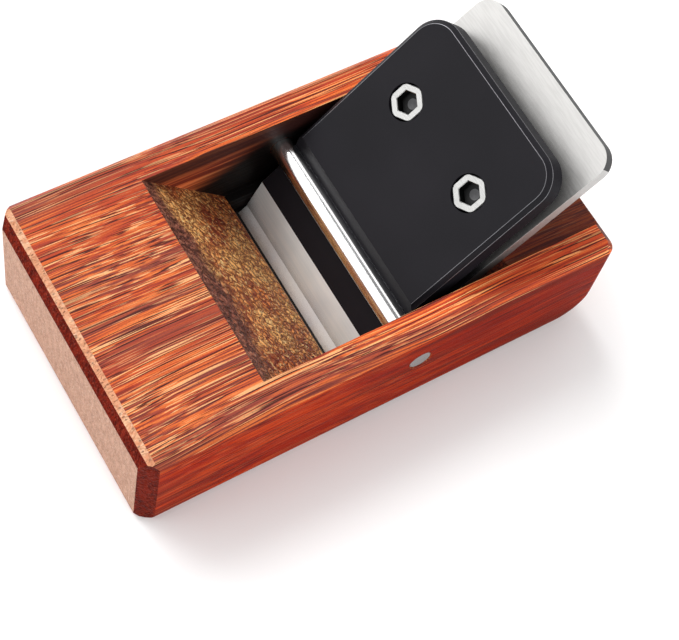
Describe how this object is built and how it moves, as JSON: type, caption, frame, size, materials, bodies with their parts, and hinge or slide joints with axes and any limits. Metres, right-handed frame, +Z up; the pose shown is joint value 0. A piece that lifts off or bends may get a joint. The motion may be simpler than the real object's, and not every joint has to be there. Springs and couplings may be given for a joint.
{
  "type": "hand plane",
  "caption": "Pocket wooden hand plane: open throat block, blade bedded at a fixed pitch, and a black lever cap that rocks on a cross pin and is locked by set screws.",
  "frame": {"origin": "centre of the flat sole, on the plane it rests on", "axes": "+X from the toe to the heel, +Y across the block, +Z up"},
  "size_m": [0.1, 0.058, 0.0465],
  "materials": {
    "body_wood": "thin satin oil over red-brown open-grained hardwood",
    "pin_steel": "polished",
    "blade_steel": "fine brushed",
    "cap_black": "satin black",
    "screw_steel": "plated, satin"
  },
  "bodies": {
    "block": {"plane_body": "body_wood", "cross_pin": "pin_steel"},
    "iron": {"blade": "blade_steel"},
    "cap": {"lever_cap": "cap_black"},
    "near_screw": {"screw_near": "screw_steel"},
    "far_screw": {"screw_far": "screw_steel"}
  },
  "joints": [
    {"name": "blade_slide", "type": "slide", "parent": "block", "child": "iron", "axis": [0.7431, 0, 0.6691], "range_m": [-0.0006, 0.045]},
    {"name": "cap_rock", "type": "hinge", "parent": "block", "child": "cap", "pos_m": [0.0073, 0, 0.016], "axis": [0, 1, 0], "range_deg": [0, 6]},
    {"name": "near_screw_travel", "type": "slide", "parent": "cap", "child": "near_screw", "axis": [-0.7071, 0, 0.7071], "range_m": [0, 0.0028]},
    {"name": "far_screw_travel", "type": "slide", "parent": "cap", "child": "far_screw", "axis": [-0.7071, 0, 0.7071], "range_m": [0, 0.0028]}
  ],
  "couplings": [
    {"joint": "near_screw_travel", "follows": "cap_rock", "m_per_rad": 0.02645},
    {"joint": "far_screw_travel", "follows": "cap_rock", "m_per_rad": 0.02645}
  ]
}
